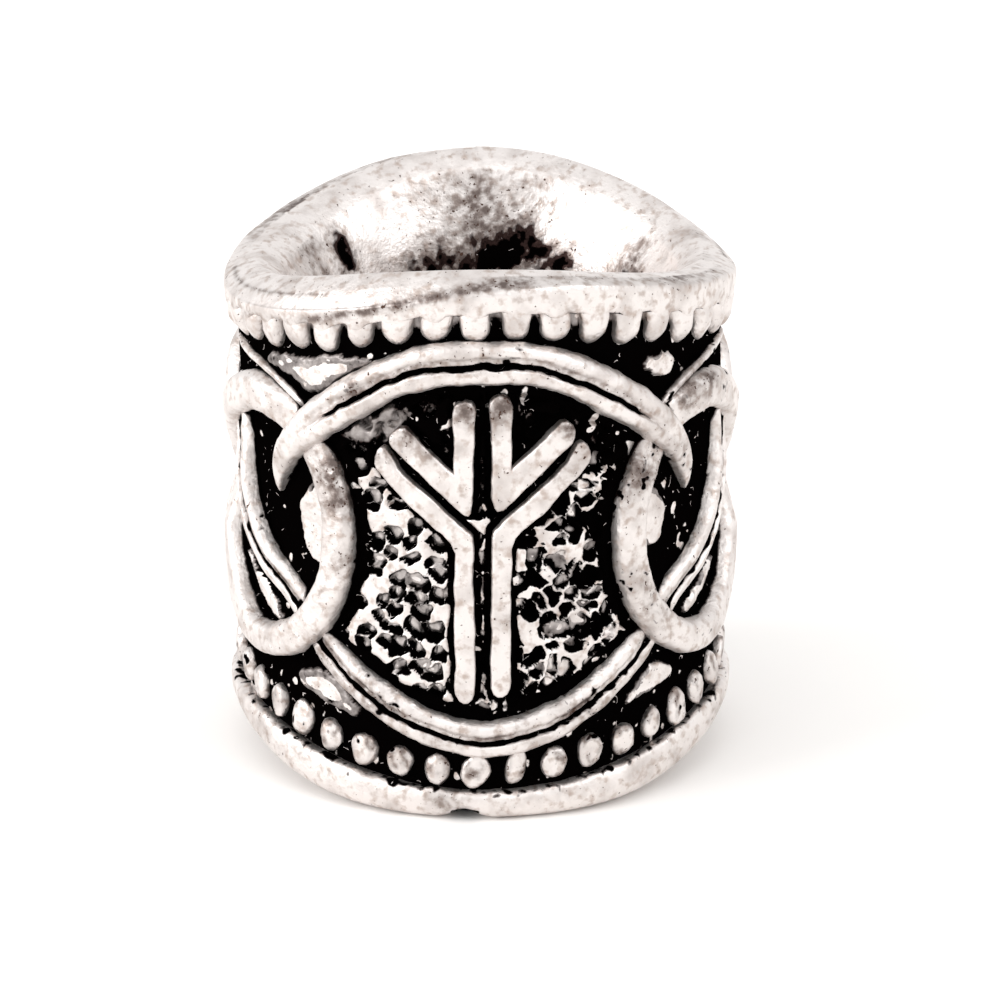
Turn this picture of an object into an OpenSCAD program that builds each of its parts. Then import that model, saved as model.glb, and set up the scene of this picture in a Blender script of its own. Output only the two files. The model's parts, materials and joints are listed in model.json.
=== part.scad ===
// Dreadlock bead, cast in one piece: a short tube with a flared mouth at each end, smooth rims
// that dip at the sides, two rows of granules, interlaced strands and a raised rune on two panels.
// Lengths are in millimetres. +Z runs up the bore, the front panel faces -Y, and the origin is
// on the bore's axis, level with the lowest points of the foot.

/* [Body] */
// Height of the bead at the middle of its front and back
front_h = 11.9; // [10.5:0.1:14]
// How much lower each rim lies at the two sides
saddle = 1; // [0:0.05:1.4]
// Radius of the plain ground that the relief stands on
ground_r = 5.15; // [4.9:0.05:6]
// Radius of the bore that the hair runs through
bore_r = 3.5; // [2.8:0.05:3.8]

/* [Rims] */
// How far each smooth rim stands out from the ground
rim_out = 0.3; // [0.2:0.05:0.6]
// Height of each rim, from its crest to the granules
rim_h = 0.7; // [0.65:0.05:1.1]
// Width of the rounded lip, from the rim's face to the mouth
lip_w = 1.3; // [0.8:0.05:1.4]
// Height of the lip's rounding
lip_round = 0.5; // [0.3:0.05:0.55]
// Depth of the flared mouth below the front crest
flare_depth = 2.6; // [1.8:0.1:3.5]

/* [Granules] */
// Number of granules in each border, an even number so that front and back match
granule_n = 40; // [36:2:44]
// Radius of a granule
granule_r = 0.28; // [0.2:0.01:0.32]
// Distance from the rim's edge to the granules' middle
granule_drop = 0.4; // [0.36:0.01:0.6]
// Radius of the neck that joins each upper granule to the rim
neck_r = 0.2; // [0.12:0.01:0.25]

/* [Strands] */
// Width of a strand of the knotwork
strand_w = 0.77; // [0.5:0.01:0.9]
// How far a strand's crest stands out from the ground
strand_out = 0.45; // [0.3:0.01:0.6]
// Width of a side ring, from the middle of one arm to the middle of the other
ring_w = 4.5; // [3.6:0.05:4.6]
// Height of a side ring, from the middle of its top to the middle of its foot
ring_h = 5.4; // [4.4:0.05:5.8]

/* [Rune] */
// Height of the rune
rune_h = 6.65; // [5:0.05:6.8]
// Width across the tips of the rune's long branches
rune_w = 4.5; // [3.4:0.1:4.8]
// Width of one bar of the rune
bar_w = 0.43; // [0.3:0.01:0.5]
// Clear gap between the bars of each pair
bar_gap = 0.32; // [0.2:0.01:0.4]
// How far the rune stands out from the ground
rune_out = 0.32; // [0.2:0.01:0.45]

/* [Hidden] */

rim_r = ground_r + rim_out;
mouth_r = rim_r - lip_w;
throat_z = front_h / 2 - flare_depth;
// The mouth's slope has a knee half way in, this share of the way up from the throat to the lip
knee_rise = 0.36;
// The cast wall starts this far inside the bore, which is then cut to its radius
bore_stock = 0.4;
// Relief is sunk this far into the ground, so that it is one body with it
root = 0.25;
// The edge where a rim meets the ground is eased by this much
ease = 0.1;
// Slices around the wall, sections along a ring, and sides of the small round shapes
wall_slices = 60;
ring_slices = 32;
small_fn = 24;

// Columns of the strand tables. A strand's middle line is given by its angle from the middle of
// the panel in degrees and its height as a share of the field's half height there. Its width is
// a share of strand_w, and its crest a share of strand_out.
ANGLE = 0;
HEIGHT = 1;
WIDTH = 2;
CREST = 3;

// The arch over the rune, from its crown to the tip where it ends inside the side ring
arch_half = [
    [0, 0.788, 1.25, 0.92],
    [11, 0.777, 1.22, 0.94],
    [21, 0.726, 1.2, 1],
    [31, 0.632, 1.2, 1.08],
    [40, 0.527, 1.1, 1.15],
    [47, 0.409, 0.9, 1.08],
    [52, 0.285, 0.66, 0.8],
    [54, 0.16, 0.36, 0.4]
];
// The cradle under the rune, from its lowest point up through the side ring to the ring's top
cradle_half = [
    [0, -0.791, 1, 0.75],
    [10, -0.762, 1.03, 0.75],
    [20, -0.707, 1.03, 0.75],
    [29, -0.626, 1, 0.65],
    [38, -0.522, 0.95, 0.45],
    [49, -0.323, 0.95, 0.5],
    [58, -0.205, 1, 0.78],
    [65, -0.075, 1, 0.85],
    [69.5, 0.13, 1, 0.8],
    [72, 0.345, 1, 0.55],
    [73.5, 0.55, 0.95, 0.42]
];
// The twig, a thin strand that leaves the arch above the side ring's top
twig = [
    [40, 0.53, 0.35, 0.6],
    [45, 0.597, 0.35, 0.6],
    [55, 0.698, 0.35, 0.5],
    [68, 0.775, 0.35, 0.4],
    [79, 0.805, 0.3, 0.3]
];
// The low pads above the arch, under the cradle and inside the ring's front arm
pads = [
    [
        [36.5, 0.8, 0.3, 0.25],
        [40.5, 0.765, 0.7, 0.25],
        [44.5, 0.725, 0.95, 0.25],
        [48.5, 0.75, 0.6, 0.25],
        [52.5, 0.785, 0.3, 0.25]
    ],
    [
        [33.5, -0.76, 0.35, 0.25],
        [38, -0.735, 0.7, 0.25],
        [43.5, -0.705, 0.75, 0.25],
        [48.5, -0.685, 0.35, 0.25]
    ],
    [
        [48.5, 0.21, 0.4, 0.3],
        [46, 0.1, 0.75, 0.3],
        [44, 0, 0.75, 0.3],
        [42.3, -0.09, 0.4, 0.3]
    ]
];

// Middle of a side ring, as an angle from the middle of the panel
ring_angle = 59.5;
// How high a ring's crest runs, as a share of strand_out, at turns from the middle of its front
// arm over its top: it dips under the arch and again at its far arm
ring_rise = [
    [0, 0.95],
    [30, 0.75],
    [45, 0.55],
    [62, 0.6],
    [85, 1],
    [135, 1.05],
    [155, 0.7],
    [170, 0.25],
    [180, 0.3],
    [200, 0.9],
    [270, 1.05],
    [320, 1.08],
    [360, 0.95]
];

// Samples along an arch or a cradle for each row of its table
steps = 2;

// Sections of a strand: how far across its half width, and how far up its crest
round_section = [[-1, 0], [-0.88, 0.5], [-0.5, 0.88], [0, 1], [0.5, 0.88], [0.88, 0.5], [1, 0]];
split_section = [[-1, 0], [-0.92, 0.6], [-0.62, 1], [-0.3, 0.85], [-0.06, 0.45], [0.06, 0.45], [0.3, 0.85],
    [0.62, 1], [0.92, 0.6], [1, 0]];
flat_section = [[-1, 0], [-0.85, 1], [0.85, 1], [1, 0]];

// The rune's joints as shares of its height, above its foot, and its short branches' reach
// as a share of half its width
long_fork = 0.54;
short_fork = 0.65;
long_tip = 0.79;
short_tip = 0.87;
short_reach = 0.77;
// Height of the rune's foot above the bottom of the field, as a share of the field's height
rune_foot = 0.185;

// Half the bead's height at an angle from the front
function half_h(a) = front_h / 2 - saddle * pow(sin(a), 2);

// Height of a rim's crest over the bead's middle: the foot stays level for longer than the lip
// before it rises to the sides, so that the bead stands on two long arcs
function crest_h(a, upper) = front_h / 2 - saddle * pow(sin(a), upper ? 2 : 4);

// Half the height of the decorated field between the rims
function field_h(a) = half_h(a) - rim_h;

// A point by its angle from the front, its height over the bead's middle and its radius
function on_bead(a, z, r) = [r * sin(a), -r * cos(a), z];

function reversed(list) = [for (i = [len(list) - 1:-1:0]) list[i]];

// The whole of a table that holds the right half of a strand
function whole(half) = concat(
    [for (row = reversed(half)) if (row[ANGLE] > 0) [-row[ANGLE], row[HEIGHT], row[WIDTH], row[CREST]]],
    half
);

// A smooth value between rows b and c, with a and d beside them
function between(a, b, c, d, t) =
    b + t * (c - a) / 2 + t * t * (2 * a - 5 * b + 4 * c - d) / 2 + t * t * t * (3 * b - a - 3 * c + d) / 2;

// Samples of a table's smooth line, with its two ends kept
function smoothed(rows) =
    let (last = len(rows) - 1)
    concat(
        [for (i = [0:last - 1]) for (k = [0:steps - 1])
            between(rows[max(i - 1, 0)], rows[i], rows[i + 1], rows[min(i + 2, last)], k / steps)],
        [rows[last]]
    );

// Samples around a side ring, which is an oval on the unrolled ground
function ring_samples() =
    [for (i = [0:ring_slices - 1])
        let (turn = i * 360 / ring_slices)
        [
            ring_angle - ring_w / 2 / ground_r * 180 / PI * cos(turn),
            ring_h / 2 * sin(turn) / field_h(ring_angle),
            1,
            lookup(turn, ring_rise)
        ]];

// A strand's sample as a place on the unrolled ground: distance around, and height
function unrolled(row) = [row[ANGLE] * PI / 180 * ground_r, row[HEIGHT] * field_h(row[ANGLE])];

// The points of one section across a strand, with its two roots first and last
function section_points(row, before, after, section) =
    let (
        along = unrolled(after) - unrolled(before),
        across = [-along[1], along[0]] / norm(along),
        half_w = row[WIDTH] * strand_w / 2,
        last = len(section) - 1
    )
    [for (i = [0:last])
        let (
            place = unrolled(row) + across * section[i][0] * half_w,
            out = i == 0 || i == last ? -root : section[i][1] * row[CREST] * strand_out
        )
        on_bead(place[0] / ground_r * 180 / PI, place[1], ground_r + out)];

// Two triangles for each patch between neighbouring sections of m points, the last joined
// to the first where the row of n sections is closed
function skin(n, m, closed) =
    [for (i = [0:closed ? n - 1 : n - 2]) for (j = [0:m - 1]) for (k = [0, 1])
        let (
            here = i * m,
            next = ((i + 1) % n) * m,
            up = (j + 1) % m
        )
        k == 0 ? [here + j, here + up, next + up] : [here + j, next + up, next + j]];

// A fan of triangles that closes the end section that starts at a point
function end_fan(start, m, turned) =
    [for (j = [1:m - 2]) turned ? [start, start + j + 1, start + j] : [start, start + j, start + j + 1]];

// A strand laid over the ground along its samples
module strand(samples, section, closed) {
    n = len(samples);
    m = len(section);
    points = [for (i = [0:n - 1]) each section_points(
        samples[i],
        samples[closed ? (i + n - 1) % n : max(i - 1, 0)],
        samples[closed ? (i + 1) % n : min(i + 1, n - 1)],
        section
    )];
    ends = closed ? [] : concat(end_fan(0, m, true), end_fan((n - 1) * m, m, false));
    polyhedron(points, concat(skin(n, m, closed), ends));
}

module arch() {
    strand(smoothed(whole(arch_half)), split_section, false);
}

module cradle() {
    strand(smoothed(whole(cradle_half)), split_section, false);
}

module side_ring() {
    strand(ring_samples(), round_section, true);
}

module twig_and_pads() {
    strand(twig, round_section, false);
    for (pad = pads) strand(pad, flat_section, false);
}

// A border of granules: the upper ones hang from their rim by necks
module granules(upper) {
    for (i = [0:granule_n - 1]) {
        a = i * 360 / granule_n;
        z = field_h(a) - granule_drop;
        rotate([0, 0, a]) translate([0, -ground_r, upper ? z : -z]) {
            rotate([90, 0, 0]) sphere(granule_r, $fn = small_fn);
            if (upper) rotate([0, 0, 90]) cylinder(r = neck_r, h = granule_drop + rim_h / 2, $fn = small_fn);
        }
    }
}

// One bar of the rune between two points of its drawing, with a round start and end
module bar(from, to) {
    turn = atan2(to[1] - from[1], to[0] - from[0]);
    polygon([for (end = [0, 1]) for (t = [90:30:270])
        (end == 0 ? from : to) + bar_w / 2 * [cos(turn + t + 180 * end), sin(turn + t + 180 * end)]]);
}

// The right half of the rune, drawn flat beside the panel's middle line
module rune_half() {
    foot_z = (2 * rune_foot - 1) * field_h(0);
    stem_x = (bar_gap + bar_w) / 2;
    tip_x = (rune_w - bar_w) / 2;
    long_z = foot_z + long_fork * rune_h;
    short_z = foot_z + short_fork * rune_h;
    bar([stem_x, foot_z + bar_w / 2], [stem_x, long_z]);
    bar([stem_x, long_z], [tip_x, foot_z + long_tip * rune_h]);
    bar([stem_x, short_z], [stem_x, foot_z + rune_h - bar_w / 2]);
    bar([stem_x, short_z], [tip_x * short_reach, foot_z + short_tip * rune_h]);
}

// The rune of the front panel: its drawing, pushed out from inside the wall to a face that is
// round about the bead's axis
module rune() {
    intersection() {
        translate([0, -(bore_r + ground_r) / 2, 0]) rotate([90, 0, 0]) linear_extrude(ground_r) {
            rune_half();
            mirror([1, 0]) rune_half();
        }
        cylinder(r = ground_r + rune_out, h = front_h, center = true);
    }
}

// The outer half of the wall's section at an angle, as radius and height, from the ground out over
// its rim and in to the bore
function rim_section(a, upper) =
    let (
        lip_z = crest_h(a, upper) - lip_round,
        knee_r = (mouth_r + bore_r) / 2,
        knee_z = throat_z + knee_rise * (lip_z - throat_z),
        // The slope below the knee runs on into the stock that the bore takes away
        stock_z = throat_z - bore_stock * (knee_z - throat_z) / (knee_r - bore_r)
    )
    [
        [ground_r, field_h(a)],
        [rim_r - ease, field_h(a)],
        [rim_r, field_h(a) + ease],
        for (t = [0:30:180]) [mouth_r + lip_w / 2 * (1 + cos(t)), lip_z + lip_round * sin(t)],
        [knee_r, knee_z],
        [bore_r - bore_stock, stock_z]
    ];

// The whole section, from the bore's foot out round the foot's rim, up the ground and in over the lip
function wall_section(a) =
    concat([for (p = reversed(rim_section(a, false))) [p[0], -p[1]]], rim_section(a, true));

// The wall with its rims and flared mouths, and stock left inside for the bore
module wall() {
    rows = [for (i = [0:wall_slices - 1]) let (a = i * 360 / wall_slices)
        [for (p = wall_section(a)) on_bead(a, p[1], p[0])]];
    polyhedron([for (row = rows) each row], skin(wall_slices, len(rows[0]), true));
}

// What stands on the front, and again on the back
module panel() {
    arch();
    cradle();
    rune();
    for (side = [0, 1]) mirror([side, 0, 0]) {
        side_ring();
        twig_and_pads();
    }
}

module bead() {
    color("silver") translate([0, 0, front_h / 2]) difference() {
        union() {
            wall();
            for (turn = [0, 180]) rotate([0, 0, turn]) panel();
            granules(true);
            granules(false);
        }
        cylinder(r = bore_r, h = front_h + 1, center = true, $fn = 96);
    }
}

bead();
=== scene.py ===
# %% [markdown]
# # A dreadlock bead in antique silver
# The real bead is one small zinc casting, a short tube that a lock of hair is pulled through. Its
# maker carved a master by hand, so no line on it is quite straight and no two granules are alike.
# Then it was plated with silver, dipped in black and tumbled, which rubbed the black off again
# wherever something stands proud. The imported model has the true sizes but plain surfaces. This
# lesson lays a detailed skin over it, piece by piece, and then wears the black away by measuring
# how proud each point stands.

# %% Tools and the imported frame
import functools
import json
from math import asin, atan2, ceil, cos, degrees, exp, floor, hypot, pi, radians, sin

import bmesh
import bpy
from mathutils import Euler, Matrix, Vector, kdtree, noise
from mathutils.bvhtree import BVHTree


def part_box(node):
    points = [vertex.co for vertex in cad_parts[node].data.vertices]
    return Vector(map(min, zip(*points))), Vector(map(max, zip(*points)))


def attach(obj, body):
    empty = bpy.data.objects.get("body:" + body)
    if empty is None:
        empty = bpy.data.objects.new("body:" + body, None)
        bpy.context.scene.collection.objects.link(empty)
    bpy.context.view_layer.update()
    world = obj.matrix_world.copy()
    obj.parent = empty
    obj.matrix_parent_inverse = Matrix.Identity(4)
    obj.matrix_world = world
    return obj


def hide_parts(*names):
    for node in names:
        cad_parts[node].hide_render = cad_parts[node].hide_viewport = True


MM_PER_M = 1000
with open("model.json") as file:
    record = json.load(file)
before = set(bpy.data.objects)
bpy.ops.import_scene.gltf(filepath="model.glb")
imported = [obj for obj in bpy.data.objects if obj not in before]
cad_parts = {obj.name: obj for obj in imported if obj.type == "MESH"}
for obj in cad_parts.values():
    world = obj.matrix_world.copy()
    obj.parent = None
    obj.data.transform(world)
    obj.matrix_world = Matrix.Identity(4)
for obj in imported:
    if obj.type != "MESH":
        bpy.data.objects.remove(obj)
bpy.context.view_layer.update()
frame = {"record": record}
low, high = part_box("bead")
print("packed bead, mm:", [round(MM_PER_M * side, 2) for side in high - low])

# %% [markdown]
# ## A bench in millimetres
# Blender counts in metres, and a bead of 0.012 m is awkward to think about. So each piece is made
# on a bench where one unit is one millimetre and the bead's middle is at height 0. Only at the end
# is it shrunk a thousand times and stood on its foot. Height, bore and rims come from the packed
# model, so that the skin fits it.

# %% The bead's own sizes, in millimetres
FRONT_H = MM_PER_M * (high.z - low.z)
BORE_R = frame["record"]["mounts"][0]["dims"]["r_mm"]
GROUND_R = 5.15
RIM_OUT = 0.3
RIM_H = 0.7
LIP_W = 1.3
LIP_ROUND = 0.5
FLARE_DEPTH = 2.6
SADDLE = 1
STRAND_OUT = 0.45
RING_ANGLE, RING_W, RING_H = 59.5, 4.5, 5.4


def crest_h(turn, upper=True):
    """Height of a rim's crest: the foot stays level for longer than the lip."""
    return FRONT_H / 2 - SADDLE * sin(turn) ** (2 if upper else 4)


def field_h(turn):
    """Half the height of the decorated field."""
    return FRONT_H / 2 - SADDLE * sin(turn) ** 2 - RIM_H


print("front height", round(FRONT_H, 2), "bore radius", BORE_R, "field", round(2 * field_h(0), 2))

# %% [markdown]
# ## Model it flat, then wrap it
# A relief on a tube is hard to draw in the round and easy on a flat sheet. On the sheet, x runs
# around the bead, z up it and y out of the ground. Wrapping is one move for each vertex: x becomes
# an angle, and y is added to the radius. The front's middle is at x = 0.


# %% The wrap, and small helpers for hand-made unevenness
def on_bead(x, out, z):
    turn, r = x / GROUND_R, GROUND_R + out
    return Vector((r * sin(turn), -r * cos(turn), z))


def wrap(bm):
    for vert in bm.verts:
        vert.co = on_bead(*vert.co)


def ease(low_end, high_end, value):
    """0 below one end, 1 above the other, and a smooth step between them."""
    t = min(max((value - low_end) / (high_end - low_end), 0), 1)
    return t * t * (3 - 2 * t)


def wobble(point, per_mm, seed=0):
    """Smooth noise between about -1 and 1, with this many waves in a millimetre."""
    return noise.noise(Vector(point) * per_mm + Vector((seed, 7.3 * seed, -3.1 * seed)))


def uneven(point, *waves):
    """Wobbles on top of each other, each given as its height, its waves in a millimetre and a seed."""
    return sum(height * wobble(point, per_mm, seed) for height, per_mm, seed in waves)


def bell(value, middle, spread):
    """1 at the middle, and fading out over the spread."""
    return exp(-((value - middle) / spread) ** 2)


MASKS = ("worn", "grey", "smoke_and_shade")


def new_piece():
    """An empty mesh whose vertices say how far they are worn bright, how far grey, and how much smoke and
    painted shade lie on them.
    """
    bm = bmesh.new()
    for name in MASKS:
        bm.verts.layers.float.new(name)
    return bm


def masks(bm):
    return [bm.verts.layers.float[name] for name in MASKS]


def mesh_of(bm, name):
    mesh = bpy.data.meshes.new(name)
    bm.to_mesh(mesh)
    bm.free()
    return mesh


def triangles(faces):
    return sum(len(face.verts) - 2 for face in faces)


def tree_of(places):
    tree = kdtree.KDTree(len(places))
    for i, (x, z) in enumerate(places):
        tree.insert((x, 0, z), i)
    tree.balance()
    return tree


print("a wrapped quarter turn:", [round(c, 2) for c in on_bead(pi / 2 * GROUND_R, 0, 0)])

# %% [markdown]
# ## Lines that the strands follow
# Each strand is a short table: where it passes, how wide and how high it is there. A spline
# through the rows gives the flowing line that a carver's hand would draw. The rows hold an angle
# from the panel's middle in degrees, a height as a share of the field's, a width and a crest in
# millimetres, and how deep the groove between its two ridges is.

# %% From a table to an even line on the sheet
STEP = 0.06


def spline(rows, closed=False, fine=16):
    count, line = len(rows), []
    for i in range(count if closed else count - 1):
        four = (i - 1, i, i + 1, i + 2)
        near = [rows[k % count if closed else min(max(k, 0), count - 1)] for k in four]
        for k in range(fine):
            t = k / fine
            line.append([
                b + t * (c - a) / 2 + t * t * (2 * a - 5 * b + 4 * c - d) / 2
                + t ** 3 * (3 * b - a - 3 * c + d) / 2
                for a, b, c, d in zip(*near)
            ])
    return line if closed else line + [list(rows[-1])]


def even(line, closed=False):
    """The same line with its samples STEP apart."""
    line = line + [line[0]] if closed else line
    far = [0]
    for a, b in zip(line, line[1:]):
        far.append(far[-1] + hypot(b[0] - a[0], b[1] - a[1]))
    count, out, j = ceil(far[-1] / STEP), [], 0
    for i in range(count if closed else count + 1):
        goal = far[-1] * i / count
        while j < len(far) - 2 and far[j + 1] < goal:
            j += 1
        t = (goal - far[j]) / max(far[j + 1] - far[j], 1e-9)
        out.append([a + t * (b - a) for a, b in zip(line[j], line[j + 1])])
    return out


def on_sheet(rows, side=1, back=0):
    """Table rows as x, z, half width, crest and groove on the sheet."""
    out = []
    for angle, share, width, crest, groove in rows:
        turn = radians(angle)
        x = side * turn * GROUND_R + back * pi * GROUND_R
        out.append([x, share * field_h(turn), width / 2, crest, groove])
    return out


def both_halves(half):
    return [[-row[0], *row[1:]] for row in reversed(half) if row[0] > 0] + half


# %% The tables
ARCH = [
    [0, 0.788, 0.98, 0.41, 1],
    [11, 0.777, 0.95, 0.42, 1],
    [21, 0.726, 0.93, 0.45, 0.95],
    [31, 0.632, 0.93, 0.48, 0.7],
    [40, 0.527, 0.86, 0.51, 0.15],
    [47, 0.409, 0.72, 0.48, 0],
    [51.5, 0.285, 0.5, 0.36, 0],
    [53.7, 0.19, 0.22, 0.22, 0],
    [54.4, 0.14, 0.06, 0.1, 0],
]
CRADLE = [
    [0, -0.791, 0.8, 0.34, 1],
    [10, -0.762, 0.82, 0.34, 1],
    [20, -0.707, 0.82, 0.34, 1],
    [29, -0.626, 0.78, 0.3, 1],
    [38, -0.522, 0.72, 0.2, 1],
    [49, -0.323, 0.68, 0.22, 1],
    [58, -0.205, 0.7, 0.34, 1],
    [65, -0.06, 0.68, 0.38, 0.9],
    [69.5, 0.13, 0.66, 0.36, 0.8],
    [72, 0.345, 0.66, 0.25, 0.8],
    [73.5, 0.55, 0.6, 0.19, 0.8],
    [74, 0.64, 0.5, 0.12, 0.8],
]
TWIG = [
    [39, 0.52, 0.17, 0.24, 0],
    [45, 0.597, 0.17, 0.24, 0],
    [55, 0.698, 0.17, 0.2, 0],
    [68, 0.775, 0.15, 0.17, 0],
    [78, 0.8, 0.1, 0.1, 0],
    [83, 0.8, 0.04, 0.02, 0],
]
RING_RISE = [(0, 0.95), (30, 0.75), (45, 0.55), (62, 0.6), (85, 1), (135, 1.05), (155, 0.7),
             (170, 0.25), (180, 0.3), (200, 0.9), (270, 1.05), (320, 1.08), (360, 0.95)]


def looked_up(table, value):
    """What a table of pairs gives between two of its rows."""
    for (a, p), (b, q) in zip(table, table[1:]):
        if a <= value <= b:
            return p + (q - p) * (value - a) / (b - a)


def ring_rows(side, back):
    """A side ring is an oval on the sheet, which dips under the arch and at its far arm."""
    rows = []
    for angle in range(0, 360, 10):
        turn = radians(angle)
        x = radians(RING_ANGLE) * GROUND_R - RING_W / 2 * cos(turn)
        half = 0.39 + 0.06 * bell(angle, 100, 40)
        rise = STRAND_OUT * looked_up(RING_RISE, angle)
        rows.append([side * x + back * pi * GROUND_R, RING_H / 2 * sin(turn), half, rise, 0])
    return rows


lines = {"arch": [], "cradle": [], "ring": [], "twig": []}
for back in (0, 1):
    lines["arch"].append(even(spline(on_sheet(both_halves(ARCH), 1, back))))
    lines["cradle"].append(even(spline(on_sheet(both_halves(CRADLE), 1, back))))
    for side in (1, -1):
        lines["ring"].append(even(spline(ring_rows(side, back), True), True))
        lines["twig"].append(even(spline(on_sheet(TWIG, side, back))))
print({name: [len(line) for line in group] for name, group in lines.items()})

# %% [markdown]
# ## Strands: a rod laid along a line
# On the casting a strand is a rounded ridge, half sunk in the ground, and most have a groove along
# the top that parts them into two. A rod is cut into as many rings as its line has samples. Then
# each ring is moved to its sample and pressed into the strand's section. Most of a ring's vertices
# go to the top, which shows, and few to the sunk underside.

# %% The section of a strand
TOP_SHARE = 0.8
SINK = 0.25
CUT_AT, STEP_AT = -0.1, 0.27
UNSEEN = -0.3


def dome(across, groove, cut_at):
    """Height of the section as a share of its crest, for a place from -1 to 1 across it."""
    body = max(1 - abs(across) ** 5, 0) ** 0.5
    cut = 0.85 * bell(across, cut_at, 0.09) + 0.2 * bell(across, cut_at + STEP_AT, 0.18)
    return body * (1 - groove * cut)


def ring_place(share):
    """Where across the strand a vertex goes that lies this share of the way around its ring."""
    if share < TOP_SHARE:
        t = share / TOP_SHARE
        return 0.3 * (2 * t - 1) - 0.7 * cos(pi * t), True
    return cos(pi * (share - TOP_SHARE) / (1 - TOP_SHARE)), False


def laid(line, i, share, closed, seed):
    """A vertex of a strand on the sheet, and how black, grey and smoky its groove makes it. The smoke on
    the step beside the groove is partly painted shade.
    """
    last = len(line) - 1
    x, z, half, crest, groove = line[i]
    before = line[i - 1] if closed or i else line[i]
    after = line[(i + 1) % len(line)] if closed or i < last else line[i]
    dx, dz = after[0] - before[0], after[1] - before[1]
    size = hypot(dx, dz) or 1
    across, on_top = ring_place(share)
    cut_at = CUT_AT + uneven((x, 0, z), (0.09, 0.8, seed + 0.3), (0.1, 4.5, seed + 0.4))
    crest *= 1 + 0.08 * wobble((x, 3, z), 0.8, seed)
    edge = (x, 2 if across > 0 else -2, z)
    ragged = uneven(edge, (0.05, 1.3, seed), (0.03, 4, seed), (0.012, 9, seed))
    half += ragged * abs(across) * min(half / 0.35, 1)
    x, z = x - dz / size * across * half, z + dx / size * across * half
    if not on_top:
        return (x, -SINK, z), UNSEEN, UNSEEN, 0
    here = (x, 0, z)
    crest += uneven(here, (0.014, 2.2, seed), (0.008, 6, seed))
    black = bell(across, cut_at, 0.11) * (0.85 + 0.6 * wobble(here, 1.4, seed + 0.6))
    black += bell(across, cut_at, 0.18) * max(wobble(here, 5, seed + 0.7), 0)
    black *= 0.36 * groove
    # The dull band on the step beside the groove goes into the smoke mask: partly smoke, partly painted
    # shade.
    dull = groove * bell(across, cut_at + STEP_AT + 0.01, 0.2) * (0.6 + wobble(here, 0.9, seed + 0.8))
    dull = max(dull, 0)
    return (x, crest * dome(across, groove, cut_at), z), -black - 0.05 * dull, -black, 0.8 * dull


heights = [round(dome(across, 1, CUT_AT), 2) for across in (-0.9, -0.5, CUT_AT, 0.3, 0.7, 0.9)]
print("a grooved section from edge to edge:", heights)

# %% One function for straight strands and for closed ones
HOOP_R = 3


def strand(bm, line, sides, seed, closed=False):
    """Adds a rod along the line, or a hoop along a closed one."""
    rings, rod = len(line), new_piece()
    worn, grey, smoke_and_shade = masks(rod)
    if closed:
        upright = Matrix.Translation((HOOP_R, 0, 0)) @ Matrix.Rotation(pi / 2, 4, "X")
        bmesh.ops.create_circle(rod, segments=sides, radius=1, matrix=upright)
        bmesh.ops.spin(rod, geom=rod.verts[:] + rod.edges[:], cent=(0, 0, 0), axis=(0, 0, 1),
                       angle=2 * pi, steps=rings, use_merge=True)
    else:
        bmesh.ops.create_cone(rod, cap_ends=True, segments=sides, radius1=1, radius2=1, depth=2)
        long_edges = [e for e in rod.edges if abs(e.verts[0].co.z - e.verts[1].co.z) > 1]
        bmesh.ops.subdivide_edges(rod, edges=long_edges, cuts=rings - 2, use_grid_fill=True)
    for vert in rod.verts:
        x, y, z = vert.co
        if closed:
            i = round(atan2(y, x) / (2 * pi) * rings) % rings
            angle = atan2(z, hypot(x, y) - HOOP_R)
        else:
            i, angle = round((z + 1) / 2 * (rings - 1)), atan2(y, x)
        share = angle / (2 * pi) % 1
        vert.co, vert[worn], vert[grey], vert[smoke_and_shade] = laid(line, i, share, closed, seed)
    add_to(bm, rod)


def add_to(bm, part):
    """Puts a part into a piece's mesh, with its faces pointing outwards."""
    wrap(part)
    bmesh.ops.recalc_face_normals(part, faces=part.faces)
    mesh = mesh_of(part, "part")
    bm.from_mesh(mesh)
    bpy.data.meshes.remove(mesh)


# %% All the strands
pieces = {name: new_piece() for name in ("arches", "cradles", "side_rings", "twigs")}
for back in (0, 1):
    strand(pieces["arches"], lines["arch"][back], 56, 1 + back)
    strand(pieces["cradles"], lines["cradle"][back], 56, 3 + back)
for k in range(4):
    strand(pieces["side_rings"], lines["ring"][k], 48, 5 + k, closed=True)
    strand(pieces["twigs"], lines["twig"][k], 24, 10 + k)
for name, bm in pieces.items():
    print(name, triangles(bm.faces), "triangles")

# %% [markdown]
# ## The rune
# The rune stands on the ground as two mirrored halves. Each half is a forked stem and, above it,
# a V whose lower corner is sharp. Their outlines are drawn flat, as a carver would cut them from
# sheet. Each is extruded, its top edge is bevelled, and then it is sliced both ways into small
# cells, so that it can bend around the bead and its edges can waver a little. The two halves
# don't stand level on the real bead, so each has its own lift.

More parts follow.
